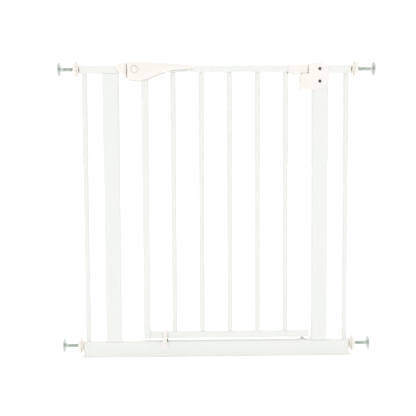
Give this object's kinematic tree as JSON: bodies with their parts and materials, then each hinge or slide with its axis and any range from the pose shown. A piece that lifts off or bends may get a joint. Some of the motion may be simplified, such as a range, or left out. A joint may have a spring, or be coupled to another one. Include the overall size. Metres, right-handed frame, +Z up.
{
  "type": "safety baby gate",
  "caption": "Pressure-fit white steel baby gate with a two-way swinging barred door, leaf-shaped latch handle and threaded wall spindles.",
  "frame": {"origin": "middle of the gate's overall width and depth, at the underside of the threshold rail", "axes": "+X from the latch post to the hinge post, +Y from the front to the back, +Z up"},
  "size_m": [0.806, 0.04, 0.762],
  "materials": {
    "powder_coat": "semi-gloss white powder coat on steel tube",
    "white_plastic": "warm white moulded plastic",
    "button_plastic": "warm white moulded plastic",
    "zinc_steel": "grey zinc plated",
    "dark_screw": "dark plated",
    "spring_steel": "bright spring wire"
  },
  "bodies": {
    "frame": {"threshold_rail": "powder_coat", "left_post": "powder_coat", "right_post": "powder_coat", "left_stub_cap": "white_plastic", "right_stub_cap": "white_plastic", "left_top_stub": "powder_coat", "right_top_stub": "powder_coat", "left_outer_bar": "powder_coat", "right_outer_bar": "powder_coat", "upper_left_plug": "white_plastic", "upper_right_plug": "white_plastic", "lower_left_plug": "white_plastic", "lower_right_plug": "white_plastic", "catch_front": "white_plastic", "catch_rear": "white_plastic", "catch_screw_upper": "zinc_steel", "catch_screw_lower": "zinc_steel", "bracket_front": "white_plastic", "bracket_rear": "white_plastic", "bracket_screw_upper": "dark_screw", "bracket_screw_lower": "dark_screw", "lower_pivot_socket": "white_plastic", "stop_screw": "zinc_steel"},
    "door": {"door_stile": "powder_coat", "door_bar_1": "powder_coat", "door_bar_2": "powder_coat", "door_bar_3": "powder_coat", "door_bar_4": "powder_coat", "door_bar_5": "powder_coat", "door_top_rail": "powder_coat", "door_bottom_rail": "powder_coat", "door_rail_cap": "white_plastic", "stile_cap": "white_plastic", "hinge_sleeve": "white_plastic", "sleeve_screw": "zinc_steel", "upper_hinge_pin": "zinc_steel", "lower_hinge_pin": "zinc_steel", "latch_housing": "white_plastic", "lever_pin": "zinc_steel", "lever_spring": "spring_steel", "bolt_spring": "spring_steel"},
    "handle": {"handle_front": "white_plastic", "handle_rear": "white_plastic", "drive_pin": "zinc_steel", "handle_screw_left": "zinc_steel", "handle_screw_right": "zinc_steel"},
    "lock_button": {"lock_button": "button_plastic"},
    "latch_bolt": {"latch_bolt": "white_plastic"},
    "direction_stop": {"direction_stop": "white_plastic"},
    "upper_left_nut": {"upper_left_nut": "white_plastic"},
    "upper_left_spindle": {"upper_left_spindle": "zinc_steel"},
    "upper_right_nut": {"upper_right_nut": "white_plastic"},
    "upper_right_spindle": {"upper_right_spindle": "zinc_steel"},
    "lower_left_nut": {"lower_left_nut": "white_plastic"},
    "lower_left_spindle": {"lower_left_spindle": "zinc_steel"},
    "lower_right_nut": {"lower_right_nut": "white_plastic"},
    "lower_right_spindle": {"lower_right_spindle": "zinc_steel"}
  },
  "joints": [
    {"name": "door_swing", "type": "hinge", "parent": "frame", "child": "door", "pos_m": [0.2207, 0, 0], "axis": [0, 0, 1], "range_deg": [-90, 90]},
    {"name": "handle_lift", "type": "hinge", "parent": "door", "child": "handle", "pos_m": [-0.2173, 0, 0.7515], "axis": [0, -1, 0], "range_deg": [0, 25], "stiffness_Nm_per_rad": 0.2, "springref_deg": -17.19},
    {"name": "bolt_slide", "type": "slide", "parent": "door", "child": "latch_bolt", "axis": [1, 0, 0], "range_m": [0, 0.0073], "deforming": ["bolt_spring"]},
    {"name": "button_press", "type": "slide", "parent": "handle", "child": "lock_button", "axis": [0, 1, 0], "range_m": [0, 0.003], "stiffness_N_per_m": 400, "springref_m": -0.003},
    {"name": "stop_turn", "type": "hinge", "parent": "frame", "child": "direction_stop", "pos_m": [-0.1393, 0, 0.0305], "axis": [0, 1, 0], "range_deg": [-90, 90]},
    {"name": "upper_left_nut_turn", "type": "hinge", "parent": "frame", "child": "upper_left_nut", "pos_m": [-0.3488, 0, 0.742], "axis": [-1, 0, 0], "range_deg": [-6480, 2352]},
    {"name": "upper_left_spindle_slide", "type": "slide", "parent": "frame", "child": "upper_left_spindle", "axis": [-1, 0, 0], "range_m": [-0.0272, 0.01]},
    {"name": "upper_right_nut_turn", "type": "hinge", "parent": "frame", "child": "upper_right_nut", "pos_m": [0.3422, 0, 0.742], "axis": [1, 0, 0], "range_deg": [-6480, 2352]},
    {"name": "upper_right_spindle_slide", "type": "slide", "parent": "frame", "child": "upper_right_spindle", "axis": [1, 0, 0], "range_m": [-0.0272, 0.01]},
    {"name": "lower_left_nut_turn", "type": "hinge", "parent": "frame", "child": "lower_left_nut", "pos_m": [-0.3488, 0, 0.03], "axis": [-1, 0, 0], "range_deg": [-6480, 2352]},
    {"name": "lower_left_spindle_slide", "type": "slide", "parent": "frame", "child": "lower_left_spindle", "axis": [-1, 0, 0], "range_m": [-0.0272, 0.01]},
    {"name": "lower_right_nut_turn", "type": "hinge", "parent": "frame", "child": "lower_right_nut", "pos_m": [0.3422, 0, 0.03], "axis": [1, 0, 0], "range_deg": [-6480, 2352]},
    {"name": "lower_right_spindle_slide", "type": "slide", "parent": "frame", "child": "lower_right_spindle", "axis": [1, 0, 0], "range_m": [-0.0272, 0.01]}
  ],
  "couplings": [
    {"joint": "bolt_slide", "follows": "handle_lift", "m_per_rad": 0.016501},
    {"joint": "upper_left_spindle_slide", "follows": "upper_left_nut_turn", "m_per_rad": 0.00023873},
    {"joint": "upper_right_spindle_slide", "follows": "upper_right_nut_turn", "m_per_rad": 0.00023873},
    {"joint": "lower_left_spindle_slide", "follows": "lower_left_nut_turn", "m_per_rad": 0.00023873},
    {"joint": "lower_right_spindle_slide", "follows": "lower_right_nut_turn", "m_per_rad": 0.00023873}
  ]
}
